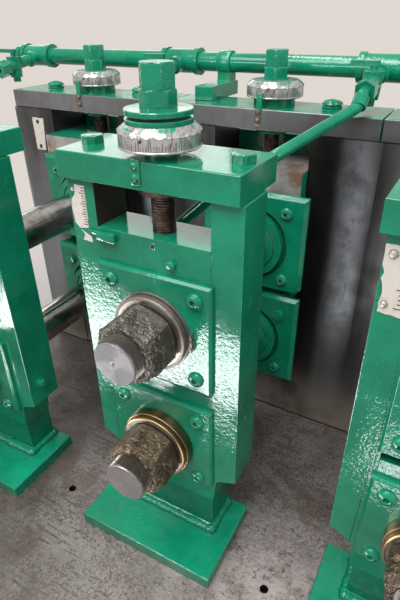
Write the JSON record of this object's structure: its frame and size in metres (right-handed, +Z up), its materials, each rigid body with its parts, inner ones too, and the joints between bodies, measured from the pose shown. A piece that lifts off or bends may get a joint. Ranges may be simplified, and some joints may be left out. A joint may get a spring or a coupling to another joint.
{
  "type": "roll forming machine",
  "caption": "Floor-standing roll forming machine with bare arbors between outboard and inboard stands, screw-down top bearing blocks with dials, and a coolant header.",
  "frame": {"origin": "on the floor under the middle of the bed", "axes": "+X along the strip path, +Y from the outboard (operator) side to the drive side, +Z up"},
  "size_m": [1.7018, 1.016, 1.5134],
  "materials": {
    "green_paint": "glossy machine green, speckled and chipped",
    "bed_steel": "grimy, scratched machined steel",
    "base_paint": "glossy machine green",
    "block_steel": "oiled steel with green paint on its face and rust marks",
    "cover_paint": "glossy machine green",
    "panel_steel": "cloudy brushed steel",
    "cap_paint": "glossy machine green over bare ends",
    "arbor_steel": "polished dark steel with bright streaks",
    "nut_steel": "worn olive grey steel, hammered on its corners",
    "screw_steel": "oiled dark steel with rust",
    "dial_chrome": "satin chrome, oiled",
    "pipe_paint": "glossy machine green over cast fittings"
  },
  "bodies": {
    "stand_frame": {"base_legs": "base_paint", "base_rails": "base_paint", "bed_plate": "bed_steel", "branch_pipes": "pipe_paint", "branch_valves": "pipe_paint", "cross_members": "base_paint", "foot_plates": "base_paint", "header_brackets": "green_paint", "header_pipe": "pipe_paint", "inboard_back_plates": "green_paint", "inboard_bottom_blocks": "block_steel", "inboard_bottom_covers": "cover_paint", "inboard_caps": "cap_paint", "inboard_face_panels": "panel_steel", "inboard_housings": "block_steel", "outboard_bottom_blocks": "block_steel", "outboard_bottom_covers": "cover_paint", "outboard_caps": "cap_paint", "outboard_feet": "green_paint", "outboard_housings": "green_paint"},
    "top_carriage_left": {"top_blocks_left": "block_steel", "top_covers_left": "cover_paint"},
    "top_arbor_assembly_left": {"top_arbor_left": "arbor_steel", "top_arbor_nut_left": "nut_steel"},
    "bottom_arbor_assembly_left": {"bottom_arbor_left": "arbor_steel", "bottom_arbor_nut_left": "nut_steel"},
    "outboard_screw_assembly_left": {"outboard_screw_left": "screw_steel", "outboard_dial_left": "dial_chrome"},
    "inboard_screw_assembly_left": {"inboard_screw_left": "screw_steel", "inboard_dial_left": "dial_chrome"},
    "top_carriage_centre": {"top_blocks_centre": "block_steel", "top_covers_centre": "cover_paint"},
    "top_arbor_assembly_centre": {"top_arbor_centre": "arbor_steel", "top_arbor_nut_centre": "nut_steel"},
    "bottom_arbor_assembly_centre": {"bottom_arbor_centre": "arbor_steel", "bottom_arbor_nut_centre": "nut_steel"},
    "outboard_screw_assembly_centre": {"outboard_screw_centre": "screw_steel", "outboard_dial_centre": "dial_chrome"},
    "inboard_screw_assembly_centre": {"inboard_screw_centre": "screw_steel", "inboard_dial_centre": "dial_chrome"},
    "top_carriage_right": {"top_blocks_right": "block_steel", "top_covers_right": "cover_paint"},
    "top_arbor_assembly_right": {"top_arbor_right": "arbor_steel", "top_arbor_nut_right": "nut_steel"},
    "bottom_arbor_assembly_right": {"bottom_arbor_right": "arbor_steel", "bottom_arbor_nut_right": "nut_steel"},
    "outboard_screw_assembly_right": {"outboard_screw_right": "screw_steel", "outboard_dial_right": "dial_chrome"},
    "inboard_screw_assembly_right": {"inboard_screw_right": "screw_steel", "inboard_dial_right": "dial_chrome"}
  },
  "joints": [
    {"name": "screw_down_left", "type": "slide", "parent": "stand_frame", "child": "top_carriage_left", "axis": [0, 0, 1], "range_m": [-0.0157, 0.0373]},
    {"name": "bottom_arbor_spin_left", "type": "hinge", "parent": "stand_frame", "child": "bottom_arbor_assembly_left", "pos_m": [-0.4826, -0.182, 0.8666], "axis": [0, 1, 0], "continuous": true},
    {"name": "top_arbor_spin_left", "type": "hinge", "parent": "top_carriage_left", "child": "top_arbor_assembly_left", "pos_m": [-0.4826, -0.182, 1.1293], "axis": [0, 1, 0], "continuous": true},
    {"name": "outboard_screw_turn_left", "type": "hinge", "parent": "stand_frame", "child": "outboard_screw_assembly_left", "pos_m": [-0.4826, -0.1719, 1.3931], "axis": [0, 0, 1], "range_deg": [-3177, 1341]},
    {"name": "inboard_screw_turn_left", "type": "hinge", "parent": "stand_frame", "child": "inboard_screw_assembly_left", "pos_m": [-0.4906, 0.3181, 1.3931], "axis": [0, 0, 1], "range_deg": [-3177, 1341]},
    {"name": "screw_down_centre", "type": "slide", "parent": "stand_frame", "child": "top_carriage_centre", "axis": [0, 0, 1], "range_m": [-0.003, 0.05]},
    {"name": "bottom_arbor_spin_centre", "type": "hinge", "parent": "stand_frame", "child": "bottom_arbor_assembly_centre", "pos_m": [0, -0.182, 0.8666], "axis": [0, 1, 0], "continuous": true},
    {"name": "top_arbor_spin_centre", "type": "hinge", "parent": "top_carriage_centre", "child": "top_arbor_assembly_centre", "pos_m": [0, -0.182, 1.1166], "axis": [0, 1, 0], "continuous": true},
    {"name": "outboard_screw_turn_centre", "type": "hinge", "parent": "stand_frame", "child": "outboard_screw_assembly_centre", "pos_m": [0, -0.1439, 1.3931], "axis": [0, 0, 1], "range_deg": [-4257, 261]},
    {"name": "inboard_screw_turn_centre", "type": "hinge", "parent": "stand_frame", "child": "inboard_screw_assembly_centre", "pos_m": [-0.008, 0.3181, 1.3931], "axis": [0, 0, 1], "range_deg": [-4257, 261]},
    {"name": "screw_down_right", "type": "slide", "parent": "stand_frame", "child": "top_carriage_right", "axis": [0, 0, 1], "range_m": [-0.0157, 0.0373]},
    {"name": "bottom_arbor_spin_right", "type": "hinge", "parent": "stand_frame", "child": "bottom_arbor_assembly_right", "pos_m": [0.4826, -0.182, 0.8666], "axis": [0, 1, 0], "continuous": true},
    {"name": "top_arbor_spin_right", "type": "hinge", "parent": "top_carriage_right", "child": "top_arbor_assembly_right", "pos_m": [0.4826, -0.182, 1.1293], "axis": [0, 1, 0], "continuous": true},
    {"name": "outboard_screw_turn_right", "type": "hinge", "parent": "stand_frame", "child": "outboard_screw_assembly_right", "pos_m": [0.4826, -0.1439, 1.3931], "axis": [0, 0, 1], "range_deg": [-3177, 1341]},
    {"name": "inboard_screw_turn_right", "type": "hinge", "parent": "stand_frame", "child": "inboard_screw_assembly_right", "pos_m": [0.4746, 0.3181, 1.3931], "axis": [0, 0, 1], "range_deg": [-3177, 1341]}
  ],
  "couplings": [
    {"joint": "outboard_screw_turn_left", "follows": "screw_down_left", "rad_per_m": -1484.2},
    {"joint": "inboard_screw_turn_left", "follows": "screw_down_left", "rad_per_m": -1484.2},
    {"joint": "outboard_screw_turn_centre", "follows": "screw_down_centre", "rad_per_m": -1484.2},
    {"joint": "inboard_screw_turn_centre", "follows": "screw_down_centre", "rad_per_m": -1484.2},
    {"joint": "outboard_screw_turn_right", "follows": "screw_down_right", "rad_per_m": -1484.2},
    {"joint": "inboard_screw_turn_right", "follows": "screw_down_right", "rad_per_m": -1484.2},
    {"joint": "bottom_arbor_spin_left", "follows": "bottom_arbor_spin_centre", "ratio": 1},
    {"joint": "top_arbor_spin_left", "follows": "bottom_arbor_spin_centre", "ratio": -1},
    {"joint": "top_arbor_spin_centre", "follows": "bottom_arbor_spin_centre", "ratio": -1},
    {"joint": "bottom_arbor_spin_right", "follows": "bottom_arbor_spin_centre", "ratio": 1},
    {"joint": "top_arbor_spin_right", "follows": "bottom_arbor_spin_centre", "ratio": -1}
  ]
}
